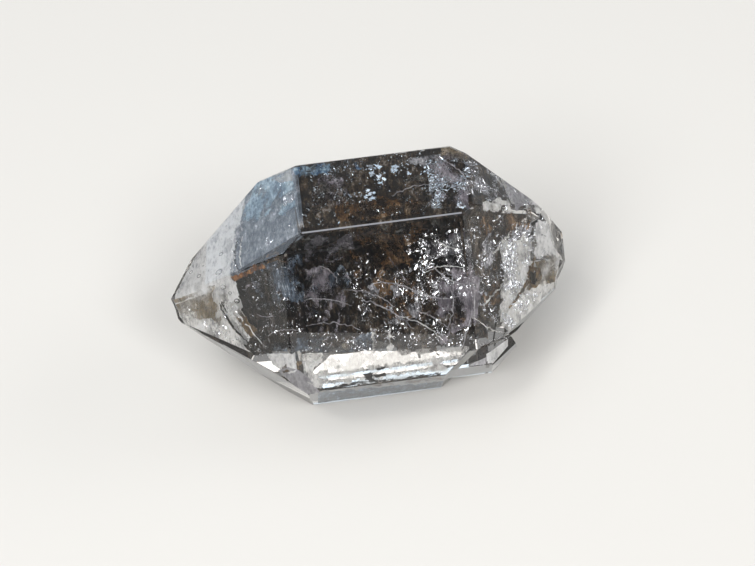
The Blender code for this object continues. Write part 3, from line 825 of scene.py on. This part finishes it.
# Name, face, number of flakes, their sizes in mm and stretch, the lamp that they flash from, how far they
# lean and turn, seed, and the four corners that they lie between
GLINTS = (
    ("glints_front", FRONT, 1500, FINE, 2, KEY, 0.25, 0.5, 21,
     ((290, 236, 4.4), (462, 216, 4.4), (476, 344, 1.0), (298, 350, 1.0))),
    ("glints_middle", FRONT, 2300, BROAD, 3, KEY, 0.18, 1.2, 22,
     ((405, 235, 4.2), (482, 226, 4.2), (486, 295, 1.1), (412, 300, 1.1))),
    ("glints_low", FRONT, 1100, FINE, 3, KEY, 0.2, 0.9, 23,
     ((345, 268, 1.5), (430, 272, 1.5), (476, 340, 0.8), (368, 340, 0.8))),
    ("glints_top", TOP, 1300, FINE, 2, BEHIND, 0.14, 0.5, 24,
     ((298, 160, 0.4), (469, 146, 0.4), (466, 210, 0.3), (303, 228, 0.3))),
    ("glints_top_right", TOP, 1400, BROAD, 3, BEHIND, 0.14, 1.0, 25,
     ((425, 160, 0.35), (469, 156, 0.35), (466, 208, 0.3), (432, 208, 0.3))),
    ("glints_slate", FRONT, 420, FINE, 2, KEY, 0.2, 0.8, 42,
     ((302, 334, 0.6), (392, 328, 0.6), (400, 350, 0.5), (302, 352, 0.5))),
    ("glints_slate_right", FRONT, 360, FINE, 2, KEY, 0.2, 0.8, 43,
     ((392, 328, 0.6), (470, 324, 0.6), (462, 346, 0.5), (400, 350, 0.5))),
    ("glints_top_blue", TOP, 220, FINE, 1, BEHIND, 0.12, 0.8, 40,
     ((296, 165, 0.2), (372, 158, 0.2), (372, 174, 0.2), (300, 178, 0.2))),
    ("glints_lilac", TOP, 420, (0.010, 0.05), 1, BEHIND, 0.14, 0.8, 41,
     ((308, 172, 0.25), (352, 168, 0.25), (354, 204, 0.25), (308, 208, 0.25))),
    ("flakes_a", TOP, 60, (0.06, 0.34), 0.8, BEHIND, 0.05, 1, 26,
     ((362, 166, 0.4), (396, 163, 0.4), (398, 184, 0.4), (368, 186, 0.4))),
    ("flakes_b", TOP, 40, (0.06, 0.30), 0.8, BEHIND, 0.05, 1, 27,
     ((406, 163, 0.4), (440, 162, 0.4), (440, 173, 0.4), (408, 175, 0.4))),
    ("flakes_c", TOP, 36, (0.06, 0.26), 0.8, BEHIND, 0.05, 1, 28,
     ((346, 192, 0.3), (376, 188, 0.3), (376, 200, 0.3), (346, 203, 0.3))),
    ("glints_left", LEFT_FRONT, 1000, (0.012, 0.055), 2, KEY, 0.28, 0.9, 29,
     ((238, 280, 0.8), (290, 256, 0.8), (301, 350, 0.8), (262, 350, 0.7))),
    ("glints_bubbles", LEFT_FRONT, 70, FINE, 1, KEY, 0.3, 1.0, 38,
     ((244, 340, 0.15), (272, 340, 0.15), (276, 354, 0.15), (254, 358, 0.15))),
    ("glints_jag", LEFT_TOP, 160, FINE, 3, KEY, 0.25, 0.8, 39,
     ((231, 238, 0.2), (242, 236, 0.2), (241, 270, 0.2), (229, 274, 0.2))),
    ("glints_left_top", LEFT_TOP, 330, FINE, 1, KEY, 0.30, 0.5, 31,
     ((246, 196, 0.3), (294, 168, 0.3), (298, 230, 0.3), (240, 264, 0.3))),
    ("scratches", LEFT_TOP, 26, (0.02, 0.06), 9, KEY, 0.10, 0.15, 33,
     ((278, 184, 0.2), (294, 180, 0.2), (296, 204, 0.2), (280, 210, 0.2))),
    ("glints_right", RIGHT_FRONT, 1500, BROAD, 3, KEY, 0.3, 1.0, 30,
     ((468, 216, 0.9), (542, 216, 0.3), (528, 300, 0.4), (486, 330, 0.8))),
    ("glints_right_top", RIGHT_TOP, 800, BROAD, 3, KEY, 0.3, 1.0, 32,
     ((466, 158, 0.35), (500, 174, 0.3), (545, 214, 0.3), (470, 208, 0.3))),
    ("glints_patch", RIGHT_FRONT, 1200, BROAD, 3, SIDE, 0.22, 0.8, 35,
     ((500, 236, 0.4), (536, 230, 0.3), (522, 290, 0.3), (500, 300, 0.4))),
    ("glints_foot", RIGHT_FRONT, 500, BROAD, 2, SIDE, 0.22, 1.0, 36,
     ((504, 300, 0.2), (552, 282, 0.15), (512, 328, 0.2), (502, 322, 0.2))),
    ("glints_tip", LEFT_FRONT, 260, BROAD, 1, KEY, 0.3, 1.0, 37,
     ((178, 306, 0.25), (236, 300, 0.3), (246, 346, 0.3), (188, 322, 0.25))),
    ("glints_end", END_HIGH, 300, BROAD, 2, KEY, 0.3, 1.0, 34,
     ((534, 212, 0.2), (558, 220, 0.2), (562, 270, 0.2), (534, 280, 0.2))),
)
for row in GLINTS:
    glints(*row)

# Glints towards the back
# The same flakes on the crystal's far side, leaning every way. The photograph doesn't show them, so they
# are guessed.
BACK_STRETCH = 3
BACK_SWIRL = 1.0
# Name, middle and spread in mm, number of flakes and seed
BACK_GLINTS = (
    ("glints_back_high", (0.2, 2.2, 5.75), (1.9, 0.40, 0.14), 150, 51),
    ("glints_back_low", (0.3, 2.5, 4.1), (1.9, 0.30, 0.35), 150, 52),
    ("glints_back_right", (3.4, 2.4, 4.9), (0.5, 0.40, 0.40), 120, 53),
    ("glints_back_left", (-3.6, 2.4, 4.9), (0.5, 0.40, 0.40), 120, 54),
)
for name, middle, spread, count, seed in BACK_GLINTS:
    pick = random.Random(seed)
    build = bmesh.new()
    for number in range(count):
        place = Vector([pick.gauss(middle[k], spread[k]) for k in range(3)]) * MM
        if buried(place):
            lean = Vector([pick.gauss(0, 1) for axis in range(3)]).normalized()
            flake(build, pick, place, lean, BROAD, BACK_STRETCH, BACK_SWIRL)
    add_piece(name, build, flash)

# Soft studio light
# Large soft lamps round the crystal, one strip and eight boxes, which give its faces broad gleams. Those
# behind the crystal are cooler in colour than those in front.
LAMP_DISTANCE = 0.40
SKY_COLOUR = (0.95, 0.97, 1.0, 1)
SKY_STRENGTH = 0.25
GLASS_BOUNCES = 32
THIN_FILM_BOUNCES = 24
# Name, direction and height in degrees, size in m, brightness, roll in degrees and colour
LAMPS = (
    ("right_box", 10, 26, (0.20, 0.16), 3.2, 0, (1.0, 0.98, 0.95)),
    ("front_strip", 270, 10.2, (0.34, 0.026), 1.3, -8, (1.0, 0.98, 0.95)),
    ("overhead", 155, 74, (0.30, 0.30), 1.2, 0, (1.0, 0.99, 0.97)),
    ("front_left_box", 232, 42, (0.20, 0.20), 7.2, 0, (1.0, 0.99, 0.97)),
    ("front_right_box", 308, 42, (0.16, 0.16), 8.5, 0, (1.0, 0.99, 0.97)),
    ("back_box", 89, 54.5, (0.20, 0.090), 1.15, 0, (0.70, 0.86, 1.0)),
    ("left_back_box", 136, 12, (0.16, 0.10), 1.3, 0, (0.74, 0.86, 1.0)),
    ("right_back_box", 44, 12, (0.14, 0.10), 0.4, 0, (0.94, 0.97, 1.0)),
    ("key", 205, 62, (0.12, 0.12), 7.0, 0, (1.0, 0.98, 0.94)),
)
for name, around, height, size, bright, roll, colour in LAMPS:
    lamp = bpy.data.lights.new(name, "AREA")
    lamp.shape = "RECTANGLE"
    lamp.size, lamp.size_y = size
    lamp.energy = bright * size[0] * size[1] * math.pi
    lamp.color = colour
    light = bpy.data.objects.new(name, lamp)
    bpy.context.scene.collection.objects.link(light)
    way = lamp_way(around, height)
    aim = way.to_track_quat("Z", "Y").to_matrix().to_4x4() @ Matrix.Rotation(math.radians(roll), 4, "Z")
    light.matrix_world = Matrix.Translation(way * LAMP_DISTANCE) @ aim

world = bpy.data.worlds.new("studio")
bpy.context.scene.world = world
world.use_nodes = True
world.node_tree.nodes["Background"].inputs["Color"].default_value = SKY_COLOUR
world.node_tree.nodes["Background"].inputs["Strength"].default_value = SKY_STRENGTH

bpy.context.scene.view_settings.view_transform = "Standard"
bpy.context.scene.cycles.max_bounces = GLASS_BOUNCES
bpy.context.scene.cycles.transmission_bounces = GLASS_BOUNCES
bpy.context.scene.cycles.transparent_max_bounces = THIN_FILM_BOUNCES
